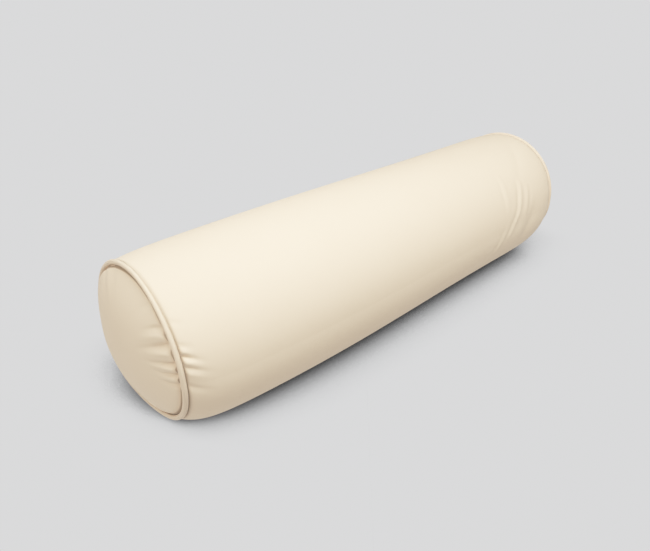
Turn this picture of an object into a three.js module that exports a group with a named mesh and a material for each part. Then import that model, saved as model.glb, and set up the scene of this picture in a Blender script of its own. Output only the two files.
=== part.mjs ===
// A round bolster cushion lying on its side, in plain cream cotton with self piping.
// It is drawn here as a maker would turn it true and round, and one settling function then
// gives every piece the same flat underside, raised ends, seam wander, puckers and folds.
// Millimetres, +X along the cushion, +Z up. The origin is on the surface that it lies on.

import * as THREE from 'three';

// Driving sizes of the true, round cushion
const seamToSeam = 700;
const seamRadius = 90;
const drumRadius = 101.5;
const drumBelly = 2.6;
const drawInLength = 18.8;
const endCrown = 20;
const crownPower = 2.4;
const clothThickness = 2;
const pipingDiameter = 6;
const pieceGap = 0.3;

// How it lies: the flat underside, the spread of the sides under its own weight, and the
// small bow, sway and uneven filling that keep a stuffed roll from being quite straight.
// The whole is set back so that the middle of its footprint is at the origin
const drumAxisHeight = 99.2;
const sideSpread = 0.02;
const lowSpread = 0.02;
const bowToFront = 2.9;
const sway = 1.3;
const leftFullness = 1.7;
const setBack = 3.7;

// Where the end panel leaves the piping, as an angle round the cord from the drum's side
const panelLeavesAt = -120;

// Each end seam stands this much higher than the drum's axis. The left one is neither quite
// flat nor quite round: it wanders outwards and in width, in waves of so many turns round it
const leftEnd = {
  side: -1,
  rise: 7.7,
  outwards: [
    { turns: 2, cosine: 1.5, sine: -1.9 },
    { turns: 3, cosine: -0.65, sine: -0.7 },
    { turns: 4, cosine: -0.35, sine: -0.05 },
  ],
  wider: [
    { turns: 2, cosine: -0.75, sine: -0.55 },
    { turns: 3, cosine: -0.15, sine: -0.15 },
  ],
};
const rightEnd = { side: 1, rise: 7.4, outwards: [], wider: [] };

// Puckers that run away from the piping. Angles are degrees from +Y towards +Z, lean is the
// turn over the reach, and depth is under the smooth cloth. A negative depth is a fuller place
const leftPanelPuckers = [
  { angle: 38, lean: 0, reach: 60, depth: -3.5, breadth: 50 },
  { angle: 60, lean: 1, reach: 34, depth: 0.7, breadth: 6 },
  { angle: 78, lean: 8, reach: 22, depth: 0.7, breadth: 5 },
  { angle: 141, lean: -6, reach: 24, depth: 1.0, breadth: 4.5 },
  { angle: 152.5, lean: -2, reach: 38, depth: 1.8, breadth: 4.5 },
  { angle: 164.5, lean: 1, reach: 30, depth: 1.8, breadth: 4 },
  { angle: 173, lean: 2, reach: 24, depth: 1.3, breadth: 3.5 },
  { angle: 180.5, lean: 2, reach: 22, depth: 0.9, breadth: 3.5 },
];
const leftDrumPuckers = [
  { angle: 138, lean: 2, reach: 16, depth: 0.6, breadth: 4.5 },
  { angle: 151, lean: 2.5, reach: 17, depth: 0.9, breadth: 4.5 },
  { angle: 160.5, lean: 2, reach: 22, depth: 1.8, breadth: 4 },
  { angle: 168.5, lean: 5, reach: 30, depth: 2.0, breadth: 4 },
  { angle: 180, lean: 3, reach: 24, depth: 1.2, breadth: 4.5 },
];
const rightPanelPuckers = [
  { angle: 12, lean: 3, reach: 28, depth: 1.0, breadth: 8 },
  { angle: 52, lean: -4, reach: 24, depth: 0.8, breadth: 8 },
  { angle: 112, lean: 3, reach: 26, depth: 0.8, breadth: 8 },
  { angle: 163, lean: -2, reach: 30, depth: 1.1, breadth: 5 },
  { angle: 222, lean: 2, reach: 24, depth: 0.9, breadth: 8 },
  { angle: 318, lean: -3, reach: 26, depth: 0.9, breadth: 8 },
];
const rightDrumPuckers = [
  { angle: 20, lean: 2, reach: 22, depth: 0.8, breadth: 7 },
  { angle: 132, lean: -2, reach: 18, depth: 0.6, breadth: 5 },
  { angle: 158, lean: 2, reach: 22, depth: 0.8, breadth: 5 },
];

// Soft folds across the drum, from one point to another. A negative depth is a ridge
const drumFolds = [
  { fromX: 229, fromAngle: 149, toX: 189, toAngle: 188, depth: 1.0, breadth: 8 },
  { fromX: 243, fromAngle: 148, toX: 211, toAngle: 184, depth: -1.0, breadth: 7 },
  { fromX: 251, fromAngle: 152, toX: 233, toAngle: 178, depth: 0.8, breadth: 6 },
  { fromX: 217, fromAngle: 136, toX: 197, toAngle: 153, depth: 0.6, breadth: 7 },
];

// How finely the pieces are faceted. Angular steps are closer where the puckers are
const puckeredFrom = 129;
const puckeredTo = 192;
const fineSteps = 24;
const coarseSteps = 46;
const drumDistances = [6, 9, 13, 18, 24, 32, 42, 56, 76, 104, 120, 136, 156, 190, 250, 350];
const crownShares = [0.97, 0.93, 0.87, 0.79, 0.67, 0.48, 0.25];
const cordSides = 8;
const grooveSteps = 3;

// Worked-out sizes
const halfLength = seamToSeam / 2;
const cordRadius = pipingDiameter / 2;
const cordSeatRadius = cordRadius + pieceGap;
const radians = THREE.MathUtils.degToRad;

const angles = [];
for (let i = 0; i < fineSteps; i += 1) {
  angles.push(radians(THREE.MathUtils.lerp(puckeredFrom, puckeredTo, i / fineSteps)));
}
for (let i = 0; i < coarseSteps; i += 1) {
  angles.push(radians(THREE.MathUtils.lerp(puckeredTo, puckeredFrom + 360, i / coarseSteps)));
}

// Height above the surface: cloth that would sink below it lies flat on it instead
function restOnSurface(height) {
  return Math.max(height, 0);
}

// Share of the way that the low sides bulge, from nothing at the middle to 1 and back
function lowSideShare(sine) {
  const below = Math.max(-sine, 0);
  return 4 * below * (1 - below);
}

// Difference of two angles in degrees, from -180 to 180
function turnBetween(a, b) {
  return THREE.MathUtils.euclideanModulo(a - b + 180, 360) - 180;
}

// Depth of a set of puckers at a distance from the seam, on a circle of that radius
function puckerDepth(puckers, degrees, distance, radius) {
  const start = 1 - Math.exp(-Math.max(distance - cordSeatRadius, 0) / cordRadius);
  return puckers.reduce((total, pucker) => {
    const share = distance / pucker.reach;
    const aside = radians(turnBetween(degrees, pucker.angle + pucker.lean * share)) * radius;
    return total + pucker.depth * start * Math.exp(-2 * share ** 2 - (aside / pucker.breadth) ** 2);
  }, 0);
}

// Depth of the soft folds at a place on the drum, by its distance from each fold's line
function foldDepth(x, degrees) {
  return drumFolds.reduce((total, fold) => {
    const along = new THREE.Vector2(fold.toX - fold.fromX,
      radians(fold.toAngle - fold.fromAngle) * drumRadius);
    const place = new THREE.Vector2(x - fold.fromX,
      radians(turnBetween(degrees, fold.fromAngle)) * drumRadius);
    const share = THREE.MathUtils.clamp(place.dot(along) / along.lengthSq(), 0, 1);
    const away = place.addScaledVector(along, -share).length();
    return total + fold.depth * Math.sin(Math.PI * (0.15 + 0.7 * share))
      * Math.exp(-((away / fold.breadth) ** 2));
  }, 0);
}

// Sum of a set of waves at an angle round the cushion
function waveSum(waves, angle) {
  return waves.reduce((total, wave) => total
    + wave.cosine * Math.cos(wave.turns * angle) + wave.sine * Math.sin(wave.turns * angle), 0);
}

// How far an end wanders outwards at a point of its own face
function endWander(end, angle, radius) {
  return Math.min(radius / seamRadius, 1) ** 2 * waveSum(end.outwards, angle);
}

// From the true, round cushion to the one that lies on the surface
function settle(x, radius, angle) {
  const degrees = THREE.MathUtils.radToDeg(angle);
  const sine = Math.sin(angle);
  const distance = halfLength - Math.abs(x);
  const along = THREE.MathUtils.clamp(x / halfLength, -1, 1);
  const nearEnd = Math.exp(-Math.max(distance, 0) / drawInLength);
  const end = x < 0 ? leftEnd : rightEnd;

  const onDrum = radius > seamRadius - cordSeatRadius && distance > cordSeatRadius * 0.5;
  const drumPuckers = end === leftEnd ? leftDrumPuckers : rightDrumPuckers;
  const panelPuckers = end === leftEnd ? leftPanelPuckers : rightPanelPuckers;
  const sunk = onDrum
    ? puckerDepth(drumPuckers, degrees, distance, radius) + foldDepth(x, degrees) : 0;
  const dimple = onDrum ? 0 : puckerDepth(panelPuckers, degrees, seamRadius - radius, radius);

  const widened = nearEnd * (radius / seamRadius) * waveSum(end.wider, angle);
  const settled = radius + widened - sunk;
  const wander = endWander(rightEnd, angle, radius) * (1 + along) / 2
    - endWander(leftEnd, angle, radius) * (1 - along) / 2;
  const spread = (1 + sideSpread) * (1 + lowSpread * lowSideShare(sine));
  const bow = bowToFront * (1 - along ** 2) - sway * Math.sin(Math.PI * along);
  return new THREE.Vector3(
    x + wander - end.side * dimple,
    settled * Math.cos(angle) * spread - bow + setBack,
    restOnSurface(drumAxisHeight + end.rise * nearEnd + settled * sine),
  );
}

// Radius of the round drum at a place along it. It draws in to the seam at each end
function drumRadiusAt(x) {
  const along = x / halfLength;
  const full = drumRadius + drumBelly * (1 - along ** 2) - leftFullness * Math.sin(Math.PI * along);
  const nearEnd = Math.exp(-(halfLength - Math.abs(x)) / drawInLength);
  return THREE.MathUtils.lerp(full, seamRadius, nearEnd);
}

// Point of the cord's seat, by the angle round the cord from straight in along the cushion.
// Profile points are Vector2(radius, distance from the seam towards the middle)
function cordSeat(degrees) {
  return new THREE.Vector2(
    seamRadius + cordSeatRadius * Math.sin(radians(degrees)),
    cordSeatRadius * Math.cos(radians(degrees)),
  );
}

// A domed face from the cord's seat to the middle of the end, that far inside the outer cloth
function crownProfile(seatDegrees, inside) {
  const rim = cordSeat(seatDegrees);
  const outer = cordSeat(panelLeavesAt);
  const rise = rim.y - outer.y + endCrown - inside;
  const points = [rim];
  for (const share of [...crownShares, 0]) {
    points.push(new THREE.Vector2(rim.x * share, rim.y - rise * (1 - share ** crownPower)));
  }
  return points;
}

// Angle round the cord that is that far along its seat
function alongSeat(millimetres) {
  return THREE.MathUtils.radToDeg(millimetres / cordSeatRadius);
}

// Half of the drum's profile, from the middle of one end face to the middle of its length
function drumHalfProfile(side) {
  const faceAt = panelLeavesAt + alongSeat(clothThickness + pieceGap);
  const drumRise = drumRadiusAt(side * (halfLength - cordSeatRadius)) - seamRadius;
  const drumLeavesAt = THREE.MathUtils.radToDeg(Math.atan2(drumRise, cordSeatRadius));
  const points = crownProfile(faceAt, clothThickness + pieceGap).reverse();
  for (let i = 1; i <= grooveSteps; i += 1) {
    points.push(cordSeat(THREE.MathUtils.lerp(faceAt, drumLeavesAt, i / grooveSteps)));
  }
  for (const distance of drumDistances) {
    points.push(new THREE.Vector2(drumRadiusAt(side * (halfLength - distance)), distance));
  }
  return points.map((point) => new THREE.Vector2(point.x, side * (halfLength - point.y)));
}

// A closed solid turned from a profile of (radius, x), then settled
function turnedSolid(profile) {
  const geometry = new THREE.LatheGeometry(profile, angles.length);
  const position = geometry.attributes.position;
  for (let i = 0; i <= angles.length; i += 1) {
    const angle = angles[i % angles.length];
    profile.forEach((point, j) => {
      const placed = settle(point.y, point.x, angle);
      position.setXYZ(i * profile.length + j, placed.x, placed.y, placed.z);
    });
  }
  geometry.computeVertexNormals();
  return geometry;
}

// The drum with its filling: both end faces, both cord seats and the sides between them
function drumGeometry() {
  const left = drumHalfProfile(-1);
  const right = drumHalfProfile(1).slice(0, -1).reverse();
  return turnedSolid([...left, ...right]);
}

// An end panel: a domed round of cloth whose rim lies against the cord
function panelGeometry(end) {
  const outer = crownProfile(panelLeavesAt, 0);
  const inner = crownProfile(panelLeavesAt + alongSeat(clothThickness), clothThickness);
  const profile = [...outer.reverse(), ...inner]
    .map((point) => new THREE.Vector2(point.x, end.side * (halfLength - point.y)));
  return turnedSolid(end === leftEnd ? profile : profile.reverse());
}

// The piping: a covered cord that runs once round the end seam
function pipingGeometry(end) {
  const geometry = new THREE.TorusGeometry(seamRadius, cordRadius, cordSides, angles.length);
  const position = geometry.attributes.position;
  const columns = angles.length + 1;
  for (let i = 0; i < columns; i += 1) {
    const angle = angles[i % angles.length];
    for (let j = 0; j <= cordSides; j += 1) {
      const round = (2 * Math.PI * (j % cordSides)) / cordSides;
      const placed = settle(end.side * halfLength + cordRadius * Math.sin(round),
        seamRadius + cordRadius * Math.cos(round), angle);
      position.setXYZ(j * columns + i, placed.x, placed.y, placed.z);
    }
  }
  geometry.computeVertexNormals();
  return geometry;
}

const cotton = new THREE.MeshStandardMaterial({ color: 0xf2e6d2, roughness: 0.85, metalness: 0 });
const pipingCotton = new THREE.MeshStandardMaterial({ color: 0xeee0ca, roughness: 0.85, metalness: 0 });

function piece(name, geometry, material) {
  const mesh = new THREE.Mesh(geometry, material);
  mesh.name = name;
  return mesh;
}

const bolster = new THREE.Group();
bolster.add(piece('drum', drumGeometry(), cotton));
bolster.add(piece('end_panel_left', panelGeometry(leftEnd), cotton));
bolster.add(piece('end_panel_right', panelGeometry(rightEnd), cotton));
bolster.add(piece('piping_left', pipingGeometry(leftEnd), pipingCotton));
bolster.add(piece('piping_right', pipingGeometry(rightEnd), pipingCotton));

export default bolster;
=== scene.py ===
"""A round bolster cushion in plain cream cotton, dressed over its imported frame.

Sizes are in millimetres, as a maker gives them, and meshes are made in metres. +X runs along
the cushion to its right end, +Z is up, and angles round the cushion run from +Y towards +Z.
"""

import logging
import math
from dataclasses import dataclass
from enum import Enum
from typing import Sequence, Union

import bpy
import numpy as np
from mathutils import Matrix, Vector


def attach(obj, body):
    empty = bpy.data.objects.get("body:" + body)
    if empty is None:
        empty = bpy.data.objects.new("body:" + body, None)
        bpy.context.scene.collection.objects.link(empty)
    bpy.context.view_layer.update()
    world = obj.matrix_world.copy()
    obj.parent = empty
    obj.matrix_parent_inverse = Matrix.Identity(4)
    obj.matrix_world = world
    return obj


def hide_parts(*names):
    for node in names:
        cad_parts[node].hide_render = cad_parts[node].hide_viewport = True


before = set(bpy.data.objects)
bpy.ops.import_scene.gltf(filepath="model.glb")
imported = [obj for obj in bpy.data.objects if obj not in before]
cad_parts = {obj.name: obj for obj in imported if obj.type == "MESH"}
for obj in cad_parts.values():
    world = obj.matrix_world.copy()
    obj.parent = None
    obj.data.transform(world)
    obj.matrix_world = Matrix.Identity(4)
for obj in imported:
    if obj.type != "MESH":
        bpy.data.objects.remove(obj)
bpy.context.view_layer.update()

Array = np.ndarray
Number = Union[float, Array]
MM = 0.001
SHARP_FROM = math.radians(65)
LOG = logging.getLogger("bolster")


class Side(Enum):
    """Which end of the cushion."""

    LEFT = -1
    RIGHT = 1


class Ends(Enum):
    """How a grid's first and last rows are closed."""

    POLES = "a single point at either end"
    RING = "the last row meets the first"


@dataclass(frozen=True)
class Pucker:
    """A short valley that runs away from an end seam.

    angle is in degrees and lean is its turn over the reach. above and below are its widths
    towards the top and towards the surface. A negative depth is a fuller place.
    """

    angle: float
    lean: float
    reach: float
    depth: float
    above: float
    below: float


@dataclass(frozen=True)
class Fold:
    """A soft valley across the drum, from one point to another. A negative depth is a ridge."""

    from_x: float
    from_angle: float
    to_x: float
    to_angle: float
    depth: float
    breadth: float


@dataclass(frozen=True)
class Wave:
    """So many turns of a wave round an end seam."""

    turns: int
    cosine: float
    sine: float


@dataclass(frozen=True)
class EndShape:
    """What differs from one end to the other.

    rise is how far its seam stands above the drum's axis, and snug_lift how far the drum's cloth
    is pushed up beside its cord. outwards and wider are the seam's wander along and across.
    """

    side: Side
    rise: float
    snug_lift: float
    outwards: tuple[Wave, ...]
    wider: tuple[Wave, ...]
    panel_puckers: tuple[Pucker, ...]
    drum_puckers: tuple[Pucker, ...]


LEFT_END = EndShape(
    side=Side.LEFT,
    rise=7.7,
    snug_lift=3.7,
    outwards=(Wave(2, 1.5, -1.9), Wave(3, -0.65, -0.7), Wave(4, -0.35, -0.05)),
    wider=(Wave(2, -0.75, -0.55), Wave(3, -0.15, -0.15)),
    panel_puckers=(
        Pucker(38, 0, 60, -3.5, 50, 50),
        Pucker(106, 0, 56, 1.5, 40, 40),
        Pucker(58, 1, 34, 1.4, 3.5, 4),
        Pucker(64, 2, 30, -1.0, 4, 4),
        Pucker(72, 6, 28, 1.2, 3.5, 4),
        Pucker(124, -6, 30, 0.9, 5, 6),
        Pucker(142.5, -6, 24, 2.8, 3, 4),
        Pucker(147.5, -6, 36, -1.7, 4, 5),
        Pucker(153.5, -2, 40, 3.8, 3, 4),
        Pucker(159.5, -1, 36, -1.8, 4, 5),
        Pucker(167, 0, 32, 4.4, 2, 3.5),
        Pucker(171, 0, 28, -2.4, 3, 3),
        Pucker(175.5, 1, 26, 4.6, 1.8, 3),
        Pucker(179.5, 1, 22, -1.6, 3, 3),
        Pucker(184, 1, 22, 4.0, 1.8, 4),
    ),
    drum_puckers=(
        Pucker(139, 2, 16, 1.1, 3, 5),
        Pucker(153.5, 2, 14, 1.6, 3, 4),
        Pucker(157.5, 2, 14, -1.7, 3.5, 3.5),
        Pucker(160.2, 4, 18, 3.4, 2.6, 3.5),
        Pucker(164.2, 4, 20, -1.9, 3.5, 4),
        Pucker(167.2, 5, 22, 2.1, 2, 3.5),
        Pucker(172, 5, 22, -1.2, 4, 5),
        Pucker(182, 4, 24, 1.9, 4, 6),
    ),
)
RIGHT_END = EndShape(
    side=Side.RIGHT,
    rise=7.4,
    snug_lift=0.0,
    outwards=(),
    wider=(),
    panel_puckers=(
        Pucker(12, 3, 28, 0.7, 6, 8),
        Pucker(52, -4, 24, 0.6, 6, 8),
        Pucker(112, 3, 26, 0.6, 6, 8),
        Pucker(163, -2, 30, 0.9, 3, 6),
        Pucker(222, 2, 24, 0.6, 6, 8),
        Pucker(318, -3, 26, 0.6, 6, 8),
    ),
    drum_puckers=(
        Pucker(20, 2, 22, 0.6, 5, 8),
        Pucker(132, -2, 18, 0.4, 4, 6),
        Pucker(158, 2, 22, 0.6, 4, 6),
    ),
)
DRUM_FOLDS = (
    Fold(318, 100, 258, 142, 0.7, 8),
    Fold(257, 144, 238, 172, -0.95, 3.6),
    Fold(240, 168, 219, 186, -0.8, 3.8),
    Fold(249, 144, 230, 172, 1.05, 4.4),
    Fold(232, 168, 208, 187, 0.9, 4.8),
    Fold(265, 148, 249, 170, 0.6, 5),
    Fold(285, 172, 262, 200, 2.2, 13),
    Fold(250, 170, 230, 188, 0.6, 9),
    Fold(216, 134, 212, 162, -0.6, 4.5),
    Fold(208, 134, 203, 162, 0.5, 5),
    Fold(209, 178, 180, 203, -0.6, 5),
    Fold(200, 178, 170, 203, 0.5, 6),
    Fold(271, 150, 258, 174, -0.5, 4),
    Fold(278, 152, 266, 176, 0.6, 5),
    Fold(-48, 88, -46, 101, 0.18, 3),
    Fold(-58, 104, -64, 125, 0.18, 3),
    Fold(28, 114, 28, 127, 0.15, 3),
    Fold(40, 117, 40, 127, 0.15, 3),
    Fold(107, 101.5, 115, 108, 0.2, 3),
    Fold(98, 110.5, 101, 121, 0.2, 3),
    Fold(141, 101, 130, 119.5, 0.2, 3),
)


def from_line(angle: Array, line: Number) -> Array:
    """Angle from a line to each place round the cushion, the short way, in radians."""
    return np.mod(angle - line + np.pi, 2 * np.pi) - np.pi


@dataclass(frozen=True)
class ClosingSeam:
    """The drum's own flat seam, low at the back, with the cloth easing beside it.

    Away from the seam's line by a distance d, it is sunk by depth (exp(-(d / width)^2) -
    lip exp(-((d - lip_at) / lip_width)^2)) + easing exp(-d / easing_reach) times a sum of waves
    along it, one for each of easing_lengths.
    """

    at: float = 338.0
    depth: float = 0.9
    width: float = 1.1
    lip: float = 0.3
    lip_at: float = 3.5
    lip_width: float = 2.2
    easing: float = 0.05
    easing_reach: float = 6.0
    easing_lengths: tuple[float, ...] = (1.9, 3.1, 5.3)

    def sunk(self, x: Array, aside: Array) -> Array:
        """How far the cloth sinks, by the class's formula.

        Args:
            x: place along the cushion.
            aside: distance over the cloth from the seam's line, with its sign.
        Returns:
            The depth there.
        """
        away = np.abs(aside)
        lip = self.lip * np.exp(-(((away - self.lip_at) / self.lip_width) ** 2))
        groove = np.exp(-((aside / self.width) ** 2)) - lip
        waves = sum(np.sin(x / length + turn) for turn, length in enumerate(self.easing_lengths))
        return self.depth * groove + self.easing * waves * np.exp(-away / self.easing_reach)


@dataclass(frozen=True)
class CushionShape:
    """The true, round cushion, and how it lies on the surface.

    The drum's radius is lerp(full, seam_radius, exp(-distance from seam / draw_in)), with
    full = drum_radius + belly (1 - t^2) - left_fullness sin(pi t) and t from -1 to 1 along it.
    The angles among its fields are in degrees.
    """

    seam_to_seam: float = 700.0
    seam_radius: float = 90.0
    drum_radius: float = 101.5
    belly: float = 2.6
    draw_in: float = 18.8
    left_fullness: float = 1.7
    crown: float = 20.0
    crown_power: float = 2.4
    cloth: float = 2.0
    piping: float = 6.0
    gap: float = 0.3
    axis_height: float = 99.2
    side_spread: float = 0.02
    low_spread: float = 0.02
    underside_rounding: float = 0.8
    bow: float = 2.9
    sway: float = 1.3
    set_back: float = 3.7
    panel_leaves_at: float = -120.0
    panel_tucks_to: float = -44.0
    tuck_length: float = 1.6
    tuck_widening: float = 2.6
    tuck_turn: float = 25.0
    snug_length: float = 4.0
    snug_turn: float = 15.0
    pucker_start: float = 1.5
    first_guess: float = 30.0
    guesses: int = 24
    closing_seam: ClosingSeam = ClosingSeam()

    @property
    def half(self) -> float:
        """Half of the length from seam to seam."""
        return self.seam_to_seam / 2

    @property
    def seat(self) -> float:
        """Radius of the cloth's seat round the cord."""
        return self.piping / 2 + self.gap

    def rest(self, height: Array) -> Array:
        """Flatten what would sink below the surface.

        Height h gives 0 below -r, (h + r)^2 / 4r up to r, and h above it, with r the rounding.

        Args:
            height: heights of the round cushion.
        Returns:
            Heights of the cushion that lies on the surface.
        """
        soft = self.underside_rounding
        above = np.maximum(height + soft, 0)
        return np.where(height >= soft, height, above**2 / (4 * soft))

    def drum_radius_at(self, x: Array) -> Array:
        """Radius of the round drum at each place along it, by the class's formula."""
        along = x / self.half
        full = (
            self.drum_radius
            + self.belly * (1 - along**2)
            - self.left_fullness * np.sin(np.pi * along)
        )
        near_end = np.exp(-(self.half - np.abs(x)) / self.draw_in)
        return full + (self.seam_radius - full) * near_end

    def on_seat(self, degrees: Number) -> Array:
        """Points of the cord's seat.

        The angle runs round the cord from straight in along the cushion, outwards.

        Args:
            degrees: angles round the cord.
        Returns:
            Radius and distance from the seam, in the last column.
        """
        turn = np.radians(degrees)
        return np.stack(
            [self.seam_radius + self.seat * np.sin(turn), self.seat * np.cos(turn)], axis=-1
        )

    def drum_line(self, x: Array, angle: Array) -> Array:
        """Radius of the drum with its cloth pushed up against the cord by the filling.

        It adds snug_lift ((1 + sin(angle - snug_turn)) / 2)^2 exp(-distance from seam /
        snug_length), so that it is snug over the top and leaves a clear groove underneath.

        Args:
            x: place along the cushion.
            angle: place round it, in radians.
        Returns:
            The radius there.
        """
        snug_lift = np.where(x < 0, LEFT_END.snug_lift, RIGHT_END.snug_lift)
        lift = snug_lift * (0.5 + 0.5 * np.sin(angle - math.radians(self.snug_turn))) ** 2
        return self.drum_radius_at(x) + lift * np.exp(-(self.half - np.abs(x)) / self.snug_length)

    def drum_leaves_at(self, side: int, angle: Array) -> Array:
        """Where the drum's side leaves the cord's seat, in degrees round the cord.

        It is found in small turns, each half of the way to where the drum's line now points.

        Args:
            side: -1 or 1.
            angle: place round the cushion, in radians.
        Returns:
            The angle round the cord at each place.
        """
        leaves = np.full(angle.shape, math.radians(self.first_guess))
        for _ in range(self.guesses):
            distance = self.seat * np.cos(leaves)
            height = self.drum_line(side * (self.half - distance), angle) - self.seam_radius
            leaves = 0.5 * leaves + 0.5 * np.arctan2(height, distance)
        return np.degrees(leaves)

    def dome(self, seat_degrees: float, inside: float, shares: Array, angle: Array) -> Array:
        """Profiles of a domed end face whose rim is tucked down beside the cord.

        Its distance from the seam is base - crown (1 - share^power) + (rim - base)
        exp(-(distance from rim / tuck)^2), with base where an untucked rim would be. tuck is
        tuck_length + tuck_widening ((1 - cos(angle - tuck_turn)) / 2)^2, widest low at the front.

        Args:
            seat_degrees: where its rim sits round the cord.
            inside: how far it is inside the outer cloth.
            shares: shares of the rim's radius, 0 at the middle.
            angle: place round the end, one for each profile.
        Returns:
            Radius and distance from the seam, as shares x profiles x 2.
        """
        rim = self.on_seat(seat_degrees)
        base = self.on_seat(self.panel_leaves_at)[1] + inside
        front = (0.5 - 0.5 * np.cos(angle - math.radians(self.tuck_turn))) ** 2
        tuck = self.tuck_length + self.tuck_widening * front
        share = shares[:, None]
        drop = (rim[1] - base) * np.exp(-((rim[0] * (1 - share) / tuck) ** 2))
        distance = base - self.crown * (1 - share**self.crown_power) + drop
        return np.stack(np.broadcast_arrays(rim[0] * share, distance), axis=-1)

    def along_seat(self, length: float) -> float:
        """Angle round the cord, in degrees, that is that far along its seat."""
        return math.degrees(length / self.seat)

    def pucker_depth(
        self, puckers: Sequence[Pucker], angle: Array, distance: Array, radius: Array
    ) -> Array:
        """Depth of all the puckers at each place.

        Each is depth (1 - exp(-(distance - seat) / pucker_start)) exp(-2 share^2) times
        exp(-1.4 across^1.5), with share = distance / reach and across the distance from its
        line in its widths on that side, a little rounded.

        Args:
            puckers: the valleys of one face.
            angle: place round the cushion, in radians.
            distance: place away from the seam.
            radius: radius of the circle that the place is on.
        Returns:
            How far the cloth sinks there.
        """
        start = 1 - np.exp(-np.maximum(distance - self.seat, 0) / self.pucker_start)
        total = np.zeros(np.broadcast(angle, distance).shape)
        for pucker in puckers:
            share = distance / pucker.reach
            line = np.radians(pucker.angle + pucker.lean * share)
            aside = from_line(angle, line) * radius
            upwards = np.where(np.cos(line) < 0, -aside, aside)
            width = np.where(upwards > 0, pucker.above, pucker.below)
            across = np.sqrt((aside / width) ** 2 + 0.04) - 0.2
            total += pucker.depth * np.exp(-2 * share**2 - 1.4 * across**1.5) * start
        return total

    def fold_depth(self, x: Array, angle: Array) -> Array:
        """Depth of all the folds across the drum.

        Each is depth sin(pi (0.15 + 0.7 share)) exp(-(away / breadth)^2), with share the way
        along its line and away the distance from it over the cloth.

        Args:
            x: place along the cushion.
            angle: place round it, in radians.
        Returns:
            How far the cloth sinks there.
        """
        total = np.zeros(np.broadcast(angle, x).shape)
        for fold in DRUM_FOLDS:
            run = fold.to_x - fold.from_x
            turn = math.radians(fold.to_angle - fold.from_angle) * self.drum_radius
            past = x - fold.from_x
            aside = from_line(angle, math.radians(fold.from_angle)) * self.drum_radius
            share = np.clip((past * run + aside * turn) / (run**2 + turn**2), 0, 1)
            away = np.hypot(past - share * run, aside - share * turn)
            strength = np.sin(np.pi * (0.15 + 0.7 * share))
            total += fold.depth * strength * np.exp(-((away / fold.breadth) ** 2))
        return total

    def seam_depth(self, x: Array, angle: Array) -> Array:
        """How far the drum's closing seam sinks the cloth at each place."""
        aside = from_line(angle, math.radians(self.closing_seam.at)) * self.drum_radius
        return self.closing_seam.sunk(x, aside)

    def wave_sum(self, waves: Sequence[Wave], angle: Array) -> Array:
        """Sum of a set of waves at each angle round the cushion."""
        total = np.zeros(np.shape(angle))
        for wave in waves:
            total = total + wave.cosine * np.cos(wave.turns * angle)
            total = total + wave.sine * np.sin(wave.turns * angle)
        return total

    def wander(self, end: EndShape, angle: Array, radius: Array) -> Array:
        """How far an end wanders outwards, as waves round it that grow as radius squared."""
        share = np.minimum(radius / self.seam_radius, 1)
        return share**2 * self.wave_sum(end.outwards, angle)

    def settle(self, x: Array, radius: Array, angle: Array, sunk: Array, dimple: Array) -> Array:
        """From the true, round cushion to the one that lies on the surface.

        Args:
            x: place along the round cushion.
            radius: its radius there.
            angle: place round it, in radians.
            sunk: how far the drum's cloth is sunk there.
            dimple: how far an end's cloth is sunk there.
        Returns:
            Points in millimetres, x, y and z in the last column.
        """
        cosine, sine = np.cos(angle), np.sin(angle)
        along = np.clip(x / self.half, -1, 1)
        near_end = np.exp(-np.maximum(self.half - np.abs(x), 0) / self.draw_in)
        left = x < 0
        rise = np.where(left, LEFT_END.rise, RIGHT_END.rise)
        side = np.where(left, -1, 1)
        wider = np.where(
            left, self.wave_sum(LEFT_END.wider, angle), self.wave_sum(RIGHT_END.wider, angle)
        )
        settled = radius + near_end * (radius / self.seam_radius) * wider - sunk
        shift = (
            self.wander(RIGHT_END, angle, radius) * (1 + along) / 2
            - self.wander(LEFT_END, angle, radius) * (1 - along) / 2
        )
        below = np.maximum(-sine, 0)
        spread = (1 + self.side_spread) * (1 + self.low_spread * 4 * below * (1 - below))
        bow = self.bow * (1 - along**2) - self.sway * np.sin(np.pi * along)
        height = self.rest(self.axis_height + rise * near_end + settled * sine)
        points = (
            x + shift - side * dimple,
            settled * cosine * spread - bow + self.set_back,
            height,
        )
        return np.stack(np.broadcast_arrays(*points), axis=-1)


SHAPE = CushionShape()


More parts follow.
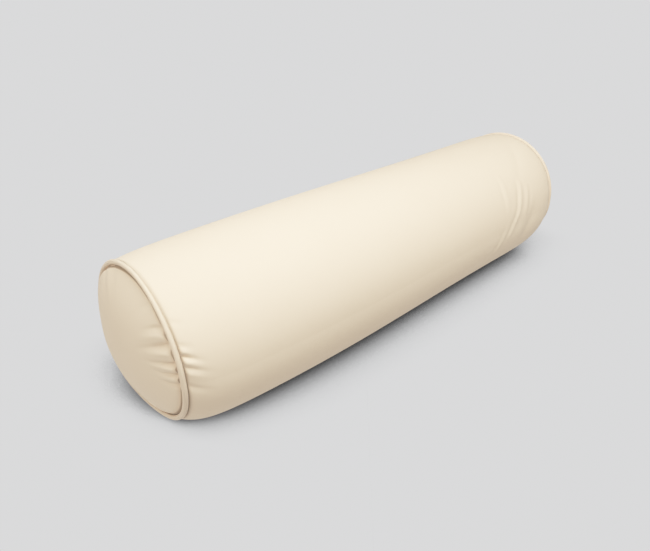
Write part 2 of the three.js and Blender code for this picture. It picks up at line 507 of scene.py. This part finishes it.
@dataclass(frozen=True)
class Skin:
    """A closed surface on a grid that also closes round its columns.

    points holds rows x columns x 3 in millimetres, and the painted seam shade a number for each
    point or row, from 0 on open cloth to 1 deep in a seam, where the painted shade is darkest.
    cloth holds rows x (columns + 1) x 2, the place on the flat cloth, with one row more where the
    rows form a ring.
    """

    points: Array
    crease: Array
    cloth: Array
    ends: Ends

    def numbering(self) -> tuple[Array, Array]:
        """Number the vertices.

        Returns:
            The vertices with their painted seam shade in the last column, and the number of
            each grid point with its closing column and row.
        """
        rows, columns = self.points.shape[:2]
        crease = np.broadcast_to(self.crease, (rows, columns))[..., None]
        points = np.concatenate([self.points, crease], axis=-1)
        if self.ends is Ends.RING:
            index = np.arange(rows * columns).reshape(rows, columns)
            vertices = points.reshape(-1, 4)
            index = np.vstack([index, index[:1]])
        else:
            middle = points[1:-1].reshape(-1, 4)
            vertices = np.vstack([points[:1, 0], middle, points[-1:, 0]])
            index = np.arange(len(middle)).reshape(rows - 2, columns) + 1
            first = np.zeros((1, columns), int)
            last = np.full((1, columns), len(middle) + 1)
            index = np.vstack([first, index, last])
        return vertices, np.hstack([index, index[:, :1]])

    def mesh(self, name: str) -> bpy.types.Mesh:
        """Make the mesh: a quad for each cell, and a triangle for each cell at a pole.

        Args:
            name: the mesh's name.
        Returns:
            A closed, smooth mesh with its faces outwards, the map "cloth" and an attribute that
            holds the painted seam shade.
        """
        vertices, index = self.numbering()
        grid = (np.s_[:-1, :-1], np.s_[:-1, 1:], np.s_[1:, 1:], np.s_[1:, :-1])
        corners = np.stack([index[part].ravel() for part in grid], axis=-1)
        flat = np.stack([self.cloth[part].reshape(-1, 2) for part in grid], axis=1)
        keep = np.ones(corners.shape, bool)
        keep[:, 1] = corners[:, 0] != corners[:, 1]
        keep[:, 3] = corners[:, 2] != corners[:, 3]
        sizes = keep.sum(axis=1)
        loops = corners[keep]
        starts = np.concatenate([[0], np.cumsum(sizes)[:-1]])

        mesh = bpy.data.meshes.new(name)
        mesh.vertices.add(len(vertices))
        mesh.vertices.foreach_set("co", (vertices[:, :3] * MM).astype(np.float32).ravel())
        mesh.loops.add(len(loops))
        mesh.loops.foreach_set("vertex_index", loops.astype(np.int32))
        mesh.polygons.add(len(sizes))
        mesh.polygons.foreach_set("loop_start", starts.astype(np.int32))
        mesh.polygons.foreach_set("loop_total", sizes.astype(np.int32))
        mesh.polygons.foreach_set("use_smooth", np.ones(len(sizes), bool))
        mesh.update(calc_edges=True)
        uv = mesh.uv_layers.new(name="cloth")
        uv.data.foreach_set("uv", (flat[keep] * MM).astype(np.float32).ravel())
        crease = mesh.attributes.new("crease", "FLOAT", "POINT")
        crease.data.foreach_set("value", vertices[:, 3].astype(np.float32))
        if mesh.validate(verbose=False):
            raise RuntimeError(f"{name}: the mesh needed mending")
        mesh.set_sharp_from_angle(angle=SHARP_FROM)
        return mesh


def stepped(start: float, rows: Sequence[tuple[float, float]]) -> Array:
    """Positions from a short table of (where a stretch ends, step in it).

    Args:
        start: the first position.
        rows: each stretch's end and step.
    Returns:
        Rising positions, the first and the last included.
    """
    pieces = [np.array([start])]
    for end, step in rows:
        first = pieces[-1][-1]
        count = max(1, round((end - first) / step))
        pieces.append(np.linspace(first, end, count + 1)[1:])
    return np.concatenate(pieces)


def rounded_corner(before: Array, corner: Array, after: Array, steps: int) -> Array:
    """A corner as the curve (1 - t)^2 before + 2 t (1 - t) corner + t^2 after."""
    t = np.linspace(0, 1, steps + 1).reshape(-1, *[1] * np.ndim(corner))
    return (1 - t) ** 2 * before + 2 * t * (1 - t) * corner + t**2 * after


@dataclass(frozen=True)
class Faceting:
    """How finely the cloth is divided, round the cushion and along it."""

    angle_steps: tuple[tuple[float, float], ...] = (
        (-16, 0.6),
        (84, 2.5),
        (128, 1.3),
        (196, 0.62),
        (332, 2.6),
        (338, 0.6),
    )
    x_steps: tuple[tuple[float, float], ...] = (
        (-310, 1.15),
        (-240, 2.3),
        (-70, 5.0),
        (240, 2.6),
        (310, 2.3),
    )
    last_x_step: float = 1.3
    rim_step: float = 0.5
    rim_width: float = 7.0
    fine_dome_step: float = 1.2
    fine_dome_width: float = 44.0
    coarse_dome_step: float = 3.6
    hidden_dome_steps: int = 18
    seat_steps: int = 10
    corner_steps: int = 4

    def angles(self) -> Array:
        """Angles round the cushion in radians, from its closing seam all the way back to it."""
        return np.radians(stepped(SHAPE.closing_seam.at - 360, self.angle_steps))

    def dome_shares(self, radius: float) -> Array:
        """Shares of a dome's radius from its middle to its rim, finer near the rim."""
        rows = (
            (radius - self.fine_dome_width, self.coarse_dome_step),
            (radius - self.rim_width, self.fine_dome_step),
            (radius, self.rim_step),
        )
        return stepped(0, rows) / radius

    def hidden_shares(self) -> Array:
        """Shares of a hidden dome's radius, 1 - (1 - t)^2 in even steps of t."""
        return 1 - (1 - np.linspace(0, 1, self.hidden_dome_steps)) ** 2


FACETING = Faceting()


class Piece:
    """A piece of the cushion: its mesh, its finish and what it stands for."""

    def __init__(self, name: str, node: str, slot: str) -> None:
        """Keep the piece's name, the node that it replaces and its slot."""
        self.name = name
        self.node = node
        self.slot = slot

    def skin(self) -> Skin:
        """The piece's surface."""
        raise NotImplementedError

    def declare(self, piece: bpy.types.Object) -> None:
        """Does nothing."""

    def build(self, material: bpy.types.Material) -> bpy.types.Object:
        """Make the piece, dress it and tie it to the frame.

        Args:
            material: its finish.
        Returns:
            The finished object, at the origin.
        """
        piece = bpy.data.objects.new(self.name, self.skin().mesh(self.name))
        bpy.context.scene.collection.objects.link(piece)
        piece.data.materials.append(material)
        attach(piece, "root")
        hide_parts(self.node)
        self.declare(piece)
        LOG.info("%s: %d faces", self.name, len(piece.data.polygons))
        return piece


class DrumCover(Piece):
    """The filled drum: its long cloth, drawn in to both end seams, and its two backing faces.

    Painted shade darkens its cloth beside the left cord by ((1 - cos(angle - crease_turn)) / 2)^2
    exp(-distance from the cord's seat / bend), darkest low at the front, and beside the right cord
    by the second factor alone. Its closing seam is flat at the end seams and has its depth from
    about seam_clear in.
    """

    bend = 1.0
    crease_turn = 15.0
    seam_clear = 8.0

    def half_profile(self, side: int, places: Array, angle: Array) -> tuple[Array, Array]:
        """Profiles of one end: backing dome, seat round the cord, and the turn onto the side.

        Args:
            side: -1 or 1.
            places: the drum's places along the cushion nearest that end, outermost first.
            angle: places round it, one for each profile.
        Returns:
            Radius and x of each point, as rows x profiles x 2, and which rows belong to the
            end's face.
        """
        inside = SHAPE.cloth + SHAPE.gap
        face_at = SHAPE.panel_tucks_to + SHAPE.along_seat(inside)
        dome = SHAPE.dome(face_at, inside, FACETING.hidden_shares(), angle)
        steps = np.linspace(0, 1, FACETING.seat_steps + 1)[1:, None]
        turn = SHAPE.drum_leaves_at(side, angle) - face_at
        seat = SHAPE.on_seat(face_at + turn * steps)
        across = places[:, None]
        distance = SHAPE.half - np.abs(across)
        side_line = np.broadcast_arrays(SHAPE.drum_line(across, angle), distance)
        side_line = np.stack(side_line, axis=-1)
        corner = rounded_corner(seat[-2], seat[-1], side_line[0], FACETING.corner_steps)
        line = np.vstack([dome, seat[:-2], corner[:-1], side_line])
        on_end = np.arange(len(line)) < len(dome) + len(seat) - 2
        line[..., 1] = side * (SHAPE.half - line[..., 1])
        return line, on_end

    def skin(self) -> Skin:
        """The drum's surface, turned from its whole profile and then settled."""
        reach = SHAPE.half - SHAPE.seat - self.bend
        rows = (*FACETING.x_steps, (reach, FACETING.last_x_step))
        places = stepped(-reach, rows)
        angle = FACETING.angles()
        left, left_end = self.half_profile(-1, places[places < 0], angle)
        right, right_end = self.half_profile(1, places[places >= 0][::-1], angle)
        line = np.vstack([left, right[::-1]])
        on_end = np.concatenate([left_end, right_end[::-1]])[:, None]

        radius, x = line[..., 0], line[..., 1]
        distance = SHAPE.half - np.abs(x)
        beside = np.maximum(distance, 0)
        sunk = np.where(
            x < 0,
            SHAPE.pucker_depth(LEFT_END.drum_puckers, angle, beside, radius),
            SHAPE.pucker_depth(RIGHT_END.drum_puckers, angle, beside, radius),
        )
        inward = 1 - np.exp(-beside / self.seam_clear)
        sunk = sunk + SHAPE.fold_depth(x, angle) + SHAPE.seam_depth(x, angle) * inward
        within = SHAPE.seam_radius - radius
        dimple = np.where(
            x < 0,
            SHAPE.pucker_depth(LEFT_END.panel_puckers, angle, within, radius),
            SHAPE.pucker_depth(RIGHT_END.panel_puckers, angle, within, radius),
        )
        sunk = np.where(on_end, 0, sunk)
        dimple = np.where(on_end, dimple, 0)
        points = SHAPE.settle(x, radius, angle, sunk, dimple)
        points[0] = points[0].mean(axis=0)
        points[-1] = points[-1].mean(axis=0)
        # painted shade in the seams beside the cords: on the left darkest low at the front, on the
        # right all round
        low = (0.5 - 0.5 * np.cos(angle - math.radians(self.crease_turn))) ** 2
        crease = np.where(x < 0, low, 1) * np.exp(-np.maximum(distance - SHAPE.seat, 0) / self.bend)
        cloth = np.stack(np.broadcast_arrays(angle * SHAPE.drum_radius, x), axis=-1)
        return Skin(points[:, :-1], crease[:, :-1], cloth, Ends.POLES)

    def declare(self, piece: bpy.types.Object) -> None:
        """Does nothing; the drum is stuffed firmly."""


class EndPanel(Piece):
    """A round of cloth, domed by the filling, whose rim lies against the cord.

    Painted shade in its seam darkens its colour over crease_width, from the radius crease_from
    outwards. dome_allowance is how much wider than its seam it is cut.
    """

    crease_from = 84.2
    crease_width = 0.8
    rim_turn = 12.0
    rim_steps = 4
    dome_allowance = 1.017

    def __init__(self, name: str, node: str, slot: str, end: EndShape) -> None:
        """Keep which end it closes."""
        super().__init__(name, node, slot)
        self.end = end

    def skin(self) -> Skin:
        """The panel's outer and inner faces and the rim between them, then settled."""
        outer_at = SHAPE.panel_tucks_to
        inner_at = outer_at + SHAPE.along_seat(SHAPE.cloth)
        angle = FACETING.angles()
        shares = FACETING.dome_shares(SHAPE.on_seat(outer_at)[0])
        outer = SHAPE.dome(outer_at, 0, shares, angle)
        inner = SHAPE.dome(inner_at, SHAPE.cloth, FACETING.hidden_shares(), angle)
        rim = np.linspace(outer_at + self.rim_turn, inner_at, self.rim_steps)
        rim = SHAPE.on_seat(rim)[:-1, None]
        rim = np.broadcast_to(rim, (len(rim), len(angle), 2))
        turn = rounded_corner(outer[-2], outer[-1], rim[0], FACETING.corner_steps)
        line = np.vstack([outer[:-2], turn, rim[1:], inner[::-1]])
        side = self.end.side.value
        radius, x = line[..., 0], side * (SHAPE.half - line[..., 1])
        within = SHAPE.seam_radius - radius
        dimple = SHAPE.pucker_depth(self.end.panel_puckers, angle, within, radius)
        points = SHAPE.settle(x, radius, angle, np.zeros(1), dimple)
        points[0] = points[0].mean(axis=0)
        points[-1] = points[-1].mean(axis=0)
        cloth = np.stack([radius * np.cos(angle), radius * np.sin(angle)], axis=-1)
        # painted shade: the cloth's colour darkens towards its rim against the cord
        crease = np.clip((radius - self.crease_from) / self.crease_width, 0, 1)
        if self.end.side is Side.RIGHT:
            points, cloth, crease = points[::-1], cloth[::-1], crease[::-1]
        return Skin(points[:, :-1], crease[:, :-1], cloth, Ends.POLES)

    def declare(self, piece: bpy.types.Object) -> None:
        """Does nothing; the panel is cut as a round and stretched over the filling."""


class Piping(Piece):
    """A cord in a bias strip that runs once round an end seam.

    The strip's slanting drag lines widen the cord by drag_depth (sin(along / fine + 2 turn)
    sin(along / middling) + sin(along / long + turn)), with drag_lengths' fine, middling and long.
    Painted shade on the cord's inner side, where the end cloth meets it, is exp(-((round the cord -
    crease_at) / crease_spread)^2), in degrees.
    """

    sides = 28
    round_steps = 480
    drag_depth = 0.03
    drag_lengths = (1.7, 23, 41)
    crease_at = -70.0
    crease_spread = 26.0

    def __init__(self, name: str, node: str, slot: str, end: EndShape) -> None:
        """Keep which end it runs round."""
        super().__init__(name, node, slot)
        self.end = end

    def skin(self) -> Skin:
        """The cord's surface, turned round the seam and then settled."""
        angle = np.linspace(0, 2 * np.pi, self.round_steps + 1)[None, :]
        turn = -np.linspace(0, 2 * np.pi, self.sides + 1)[:, None] * self.end.side.value
        along = angle * SHAPE.seam_radius
        fine, middling, long = self.drag_lengths
        drag = np.sin(along / fine + 2 * turn) * np.sin(along / middling)
        drag = drag + np.sin(along / long + turn)
        cord = SHAPE.piping / 2 + self.drag_depth * drag
        x = self.end.side.value * SHAPE.half + cord * np.sin(turn)
        radius = SHAPE.seam_radius + cord * np.cos(turn)
        flat = np.zeros(1)
        points = SHAPE.settle(x, radius, angle, flat, flat)
        bias = (along + turn * cord) / math.sqrt(2), (along - turn * cord) / math.sqrt(2)
        # painted shade on the cord's inner side, where the end cloth meets it
        round_cord = np.degrees(np.arctan2(np.cos(turn), -self.end.side.value * np.sin(turn)))
        crease = np.exp(-(((round_cord - self.crease_at) / self.crease_spread) ** 2))
        return Skin(points[:-1, :-1], crease[:-1], np.stack(bias, axis=-1), Ends.RING)


class Value:
    """A socket's number, with the usual operators, each of which adds a Math node."""

    def __init__(self, tree: "Nodes", socket: bpy.types.NodeSocket) -> None:
        """Keep the tree that the socket is in."""
        self.tree = tree
        self.socket = socket

    def maths(self, operation: str, *others: object) -> "Value":
        """The result of a Math node on this value and the others."""
        inputs = dict(enumerate((self, *others)))
        return self.tree.node("ShaderNodeMath", {"operation": operation}, inputs)

    def __add__(self, other: object) -> "Value":
        """Sum."""
        return self.maths("ADD", other)

    def __radd__(self, other: object) -> "Value":
        """Sum, reflected."""
        return self.maths("ADD", other)

    def __sub__(self, other: object) -> "Value":
        """Difference."""
        return self.maths("SUBTRACT", other)

    def __rsub__(self, other: object) -> "Value":
        """Difference, reflected."""
        return (-self).maths("ADD", other)

    def __mul__(self, other: object) -> "Value":
        """Product."""
        return self.maths("MULTIPLY", other)

    def __rmul__(self, other: object) -> "Value":
        """Product, reflected."""
        return self.maths("MULTIPLY", other)

    def __neg__(self) -> "Value":
        """The value with its sign turned."""
        return self.maths("MULTIPLY", -1.0)

    def sine(self) -> "Value":
        """Its sine."""
        return self.maths("SINE")

class Nodes:
    """The node tree of a new material or world."""

    def __init__(self, owner: Union[bpy.types.Material, bpy.types.World]) -> None:
        """Start with an empty tree."""
        owner.use_nodes = True
        self.tree = owner.node_tree
        self.tree.nodes.clear()

    def node(self, kind: str, settings: dict, inputs: dict, output: Union[int, str] = 0) -> Value:
        """Add a node.

        Args:
            kind: the node's type.
            settings: its own settings, set first. "stops" is a ramp's list of (place, colour).
            inputs: a value or a link for each input, by its name or number.
            output: which output is handed back.
        Returns:
            That output.
        """
        node = self.tree.nodes.new(kind)
        for key, setting in settings.items():
            if key == "stops":
                for place, colour in setting[2:]:
                    node.color_ramp.elements.new(place).color = (*colour, 1)
                for element, (place, colour) in zip(node.color_ramp.elements, setting):
                    element.position = place
                    element.color = (*colour, 1)
            else:
                setattr(node, key, setting)
        for key, value in inputs.items():
            if isinstance(value, Value):
                self.tree.links.new(value.socket, node.inputs[key])
            else:
                node.inputs[key].default_value = value
        return Value(self, node.outputs[output] if len(node.outputs) else None)

    def mixed(self, share: Value, first: object, second: object) -> Value:
        """Two colours mixed, from the first where share is 0 to the second where it is 1."""
        colours = {0: share, 6: first, 7: second}
        return self.node("ShaderNodeMix", {"data_type": "RGBA"}, colours, 2)


@dataclass(frozen=True)
class CottonFinish:
    """Plain close-woven cotton. Colours are linear, sizes are millimetres.

    Its colour goes from colour to shaded_thread by tint, with cloudiness times a soft noise and
    slub_tint times the slubs. slub_scale is that of a slub's noise across and along the thread.
    In its seams the colour darkens towards a brown that is painted shade, by each mesh's mask.
    """

    name: str
    colour: tuple[float, float, float] = (0.86, 0.698, 0.517)
    shaded_thread: tuple[float, float, float] = (0.82, 0.657, 0.478)
    # the brown towards which the seams are darkened, as painted shade
    painted_crease_shade: tuple[float, float, float] = (0.43, 0.31, 0.205)
    thread: float = 0.45
    thread_relief: float = 0.03
    slub_relief: float = 0.02
    relief_strength: float = 0.6
    cloud_scale: float = 14.0
    slub_scale: tuple[float, float] = (1400, 90)
    cloudiness: float = 0.5
    slub_tint: float = 0.35
    tint: float = 0.35
    roughness: float = 0.85
    roughness_spread: float = 0.08
    sheen: float = 0.12
    sheen_roughness: float = 0.4
    gloss: float = 0.3

    def material(self) -> bpy.types.Material:
        """Make the cloth: woven relief, faint slubs, a faint mottling of its colour, painted seam
        shade.
        """
        material = bpy.data.materials.new(self.name)
        nodes = Nodes(material)
        place = nodes.node("ShaderNodeUVMap", {"uv_map": "cloth"}, {})
        warp = nodes.node("ShaderNodeSeparateXYZ", {}, {0: place}, "X")
        weft = nodes.node("ShaderNodeSeparateXYZ", {}, {0: place}, "Y")
        turn = math.pi / (self.thread * MM)
        weave = (warp * turn).sine() * (weft * turn).sine()

        body = nodes.node("ShaderNodeTexCoord", {}, {}, "Object")
        cloudy = self.noise(nodes, body, self.cloud_scale, 3)
        across, along = self.slub_scale
        slub_warp = self.noise(nodes, self.stretched(nodes, place, (across, along, 1)), 1, 2)
        slub_weft = self.noise(nodes, self.stretched(nodes, place, (along, across, 1)), 1, 2)
        slubs = slub_warp + slub_weft - 1.0

        shade = (cloudy - 0.5) * self.cloudiness + slubs * self.slub_tint + self.tint
        colour = nodes.mixed(shade, (*self.colour, 1), (*self.shaded_thread, 1))
        # painted shade: each mesh's seam mask darkens the cloth towards the brown
        crease = nodes.node("ShaderNodeAttribute", {"attribute_name": "crease"}, {}, "Fac")
        colour = nodes.mixed(crease, colour, (*self.painted_crease_shade, 1))
        height = weave * self.thread_relief + slubs * self.slub_relief
        relief = {"Strength": self.relief_strength, "Distance": MM, "Height": height}
        normal = nodes.node("ShaderNodeBump", {}, relief)
        roughness = slubs * self.roughness_spread + self.roughness
        cloth = nodes.node(
            "ShaderNodeBsdfPrincipled",
            {},
            {
                "Base Color": colour,
                "Roughness": roughness,
                "Normal": normal,
                "Sheen Weight": self.sheen,
                "Sheen Roughness": self.sheen_roughness,
                "Specular IOR Level": self.gloss,
            },
        )
        nodes.node("ShaderNodeOutputMaterial", {}, {"Surface": cloth})
        return material

    def stretched(self, nodes: Nodes, place: Value, scale: Sequence[float]) -> Value:
        """The place on the cloth, multiplied along it and across it."""
        return nodes.node("ShaderNodeVectorMath", {"operation": "MULTIPLY"}, {0: place, 1: scale})

    def noise(self, nodes: Nodes, place: Value, scale: float, detail: float) -> Value:
        """Smooth noise from 0 to 1 at a place."""
        return nodes.node(
            "ShaderNodeTexNoise", {}, {"Vector": place, "Scale": scale, "Detail": detail}
        )


@dataclass(frozen=True)
class StudioSun:
    """A very soft light from far away. azimuth 0 is from -Y and 90 from +X."""

    name: str
    azimuth: float
    elevation: float
    softness: float
    strength: float
    colour: tuple[float, float, float] = (1.0, 1.0, 1.0)

    def build(self) -> None:
        """Hang the light."""
        light = bpy.data.lights.new(self.name, "SUN")
        light.energy = self.strength
        light.color = self.colour
        light.angle = math.radians(self.softness)
        lamp = bpy.data.objects.new(self.name, light)
        around, up = math.radians(self.azimuth), math.radians(self.elevation)
        towards = Vector(
            (
                math.sin(around) * math.cos(up),
                -math.cos(around) * math.cos(up),
                math.sin(up),
            )
        )
        lamp.rotation_euler = (-towards).to_track_quat("-Z", "Y").to_euler()
        bpy.context.scene.collection.objects.link(lamp)


@dataclass(frozen=True)
class Softbox:
    """A round soft light close to the cushion, aimed at it. Places are metres."""

    name: str
    place: tuple[float, float, float]
    width: float
    power: float
    aim: tuple[float, float, float] = (-0.1, 0.0, 0.1)
    colour: tuple[float, float, float] = (0.945, 0.995, 1.03)

    def build(self) -> None:
        """Hang the light."""
        light = bpy.data.lights.new(self.name, "AREA")
        light.shape = "DISK"
        light.size = self.width
        light.energy = self.power
        light.color = self.colour
        lamp = bpy.data.objects.new(self.name, light)
        lamp.location = self.place
        towards = Vector(self.aim) - Vector(self.place)
        lamp.rotation_euler = towards.to_track_quat("-Z", "Y").to_euler()
        bpy.context.scene.collection.objects.link(lamp)


@dataclass(frozen=True)
class ToneCurve:
    """The photograph's soft highlights: straight up to the knee, then a shoulder above it.

    Above the knee k, light v becomes k + (1 - exp(-s (v - k))) / s, with s the shoulder.
    """

    knee: float = 0.484
    shoulder: float = 1.579
    brightest: float = 1.8
    steps: int = 18

    def apply(self, view: bpy.types.ColorManagedViewSettings) -> None:
        """Give the view this curve, from nothing to the brightest light."""
        light = np.linspace(0, self.brightest, self.steps + 1)
        above = np.maximum(light - self.knee, 0)
        shown = np.minimum(light, self.knee) + (1 - np.exp(-self.shoulder * above)) / self.shoulder
        view.view_transform = "Standard"
        view.use_curve_mapping = True
        mapping = view.curve_mapping
        mapping.white_level = [self.brightest] * 3
        curve = mapping.curves[3]
        curve.points[0].location = (0, 0)
        curve.points[-1].location = (1, float(shown[-1]))
        for place, level in zip(light[1:-1] / self.brightest, shown[1:-1]):
            curve.points.new(float(place), float(level))
        mapping.update()


@dataclass(frozen=True)
class ContactShadow:
    """A soft shadow beside the cushion, of a light that leans some way from straight above.

    It is painted shadow: the floor's glowing colour is darkened by the share of such a light that
    would arrive, and no lamp casts it. lean is added to the floor's normal. stops pair the share of
    that light which arrives with the floor's brightness there.
    """

    lean: tuple[float, float, float]
    stops: tuple[tuple[float, float], ...]
    reach: float = 0.15

    def light(self, nodes: Nodes) -> Value:
        """The floor's brightness at each place, from 0 to 1, with the painted shadow in it."""
        upright = nodes.node("ShaderNodeNewGeometry", {}, {}, "Normal")
        leant = nodes.node(
            "ShaderNodeVectorMath", {"operation": "ADD"}, {0: upright, 1: self.lean}
        )
        leant = nodes.node("ShaderNodeVectorMath", {"operation": "NORMALIZE"}, {0: leant})
        reach = {"Distance": self.reach, "Normal": leant}
        arrives = nodes.node("ShaderNodeAmbientOcclusion", {"samples": 16}, reach, "AO")
        stops = [(place, (level,) * 3) for place, level in self.stops]
        return nodes.node("ShaderNodeValToRGB", {"stops": stops}, {0: arrives})


@dataclass(frozen=True)
class Studio:
    """The pale floor, the soft lights and the camera of the photograph.

    The surrounding light goes from floor_colour to overhead over horizon_band, by the height of
    its direction, and from full to behind over far_side, by how far it points along far_way.
    """

    floor_colour: tuple[float, float, float] = (0.748, 0.75, 0.757)
    floor_size: float = 60.0
    contact_shadows: tuple[ContactShadow, ContactShadow] = (
        ContactShadow(
            (-0.8, -0.8, -0.2),
            ((0.53, 0.05), (0.60, 0.24), (0.67, 0.54), (0.73, 0.77), (0.79, 0.91), (0.88, 1.0)),
        ),
        ContactShadow((0.0, -1.2, -0.2), ((0.45, 0.35), (0.56, 0.55), (0.58, 0.78), (0.63, 1.0))),
    )
    overhead: tuple[float, float, float] = (0.02, 0.02, 0.02)
    horizon_band: tuple[float, float] = (0.18, 0.3)
    far_way: tuple[float, float, float] = (0.9, 0.44, 0.0)
    far_side: tuple[float, float] = (-0.1, 0.8)
    behind: float = 0.25
    camera_at: tuple[float, float, float] = (-562.16, -517.66, 481.77)
    camera_azimuth: float = -42.927
    camera_elevation: float = 29.112
    lens: float = 32.975
    sensor: float = 36.0
    sight: float = 200.0
    tone: ToneCurve = ToneCurve()
    lights: tuple[Union[StudioSun, Softbox], ...] = (
        Softbox("near_softbox", (-0.42, -0.12, 0.85), 0.7, 2.1, aim=(-0.3, 0.0, 0.1)),
        Softbox("high_softbox", (0.0, -0.5, 1.2), 0.7, 11.4),
        StudioSun("top_light", 0, 89, 25, 0.29),
        StudioSun("left_light", -110, 30, 30, 0.34),
        StudioSun("near_light", -75, 50, 30, 0.6),
        StudioSun("front_light", -15, 50, 30, 0.34),
        StudioSun("back_light", -150, 30, 30, 0.2),
        StudioSun("far_light", 150, 15, 30, 0.3),
    )

    def build(self) -> None:
        """Make the floor, the lights, the camera and the surrounding light."""
        self.floor()
        self.camera()
        self.surroundings()
        for light in self.lights:
            light.build()
        self.tone.apply(bpy.context.scene.view_settings)

    def floor(self) -> None:
        """A plain level floor under the cushion, glowing evenly, with the cushion's shadow painted
        in.
        """
        half = self.floor_size / 2
        mesh = bpy.data.meshes.new("floor")
        corners = [(-half, -half, 0), (half, -half, 0), (half, half, 0), (-half, half, 0)]
        mesh.from_pydata(corners, [], [(0, 1, 2, 3)])
        floor = bpy.data.objects.new("floor", mesh)
        bpy.context.scene.collection.objects.link(floor)
        material = bpy.data.materials.new("pale_floor")
        nodes = Nodes(material)
        wide, behind = (shadow.light(nodes) for shadow in self.contact_shadows)
        # painted shadow: the floor's glowing colour is darkened beside the cushion
        glow_with_painted_shadow = nodes.mixed(wide * behind, (0, 0, 0, 1), (*self.floor_colour, 1))
        surface = nodes.node(
            "ShaderNodeBsdfPrincipled",
            {},
            {
                "Base Color": (0, 0, 0, 1),
                "Roughness": 1.0,
                "Specular IOR Level": 0.0,
                "Emission Color": glow_with_painted_shadow,
                "Emission Strength": 1.0,
            },
        )
        nodes.node("ShaderNodeOutputMaterial", {}, {"Surface": surface})
        mesh.materials.append(material)

    def camera(self) -> None:
        """The camera at the photograph's place and angle to the cushion."""
        lens = bpy.data.cameras.new("camera")
        lens.lens = self.lens
        lens.sensor_width = self.sensor
        lens.sensor_fit = "HORIZONTAL"
        lens.clip_end = self.sight
        camera = bpy.data.objects.new("camera", lens)
        camera.location = [place * MM for place in self.camera_at]
        camera.rotation_euler = (
            math.radians(90 - self.camera_elevation),
            0,
            math.radians(self.camera_azimuth),
        )
        bpy.context.scene.collection.objects.link(camera)
        bpy.context.scene.camera = camera

    def surroundings(self) -> None:
        """Light from pale walls, low and dimmer on the far side, before a plain backdrop."""
        world = bpy.data.worlds.new("studio")
        nodes = Nodes(world)
        towards = nodes.node("ShaderNodeTexCoord", {}, {}, "Generated")
        height = nodes.node("ShaderNodeSeparateXYZ", {}, {0: towards}, "Z")
        stops = list(zip(self.horizon_band, (self.floor_colour, self.overhead)))
        colour = nodes.node("ShaderNodeValToRGB", {"stops": stops}, {0: height})
        away = nodes.node(
            "ShaderNodeVectorMath",
            {"operation": "DOT_PRODUCT"},
            {0: towards, 1: self.far_way},
            "Value",
        )
        limits = dict(enumerate((away, *self.far_side, 1.0, self.behind)))
        strength = nodes.node("ShaderNodeMapRange", {}, limits)
        walls = nodes.node("ShaderNodeBackground", {}, {"Color": colour, "Strength": strength})
        plain = nodes.node("ShaderNodeBackground", {}, {"Color": (*self.floor_colour, 1)})
        seen = nodes.node("ShaderNodeLightPath", {}, {}, "Is Camera Ray")
        shown = nodes.node("ShaderNodeMixShader", {}, {0: seen, 1: walls, 2: plain})
        nodes.node("ShaderNodeOutputWorld", {}, {"Surface": shown})
        bpy.context.scene.world = world


def main() -> None:
    """Build the cushion, then the studio round it."""
    logging.basicConfig(level=logging.INFO, format="%(name)s: %(message)s")
    Studio().build()
    cover = CottonFinish("cream_cotton").material()
    # the cord's strip is the same cream cotton painted a little darker, as shade on the thin cord
    bias = CottonFinish("cream_bias_strip", (0.815, 0.66, 0.49), (0.77, 0.615, 0.45)).material()
    pieces = (
        (DrumCover("drum_cover", "drum", "cover_cotton"), cover),
        (EndPanel("end_cloth_left", "end_panel_left", "cover_cotton", LEFT_END), cover),
        (EndPanel("end_cloth_right", "end_panel_right", "cover_cotton", RIGHT_END), cover),
        (Piping("piping_cord_left", "piping_left", "piping_cotton", LEFT_END), bias),
        (Piping("piping_cord_right", "piping_right", "piping_cotton", RIGHT_END), bias),
    )
    for piece, material in pieces:
        piece.build(material)


if __name__ == "__main__":
    main()
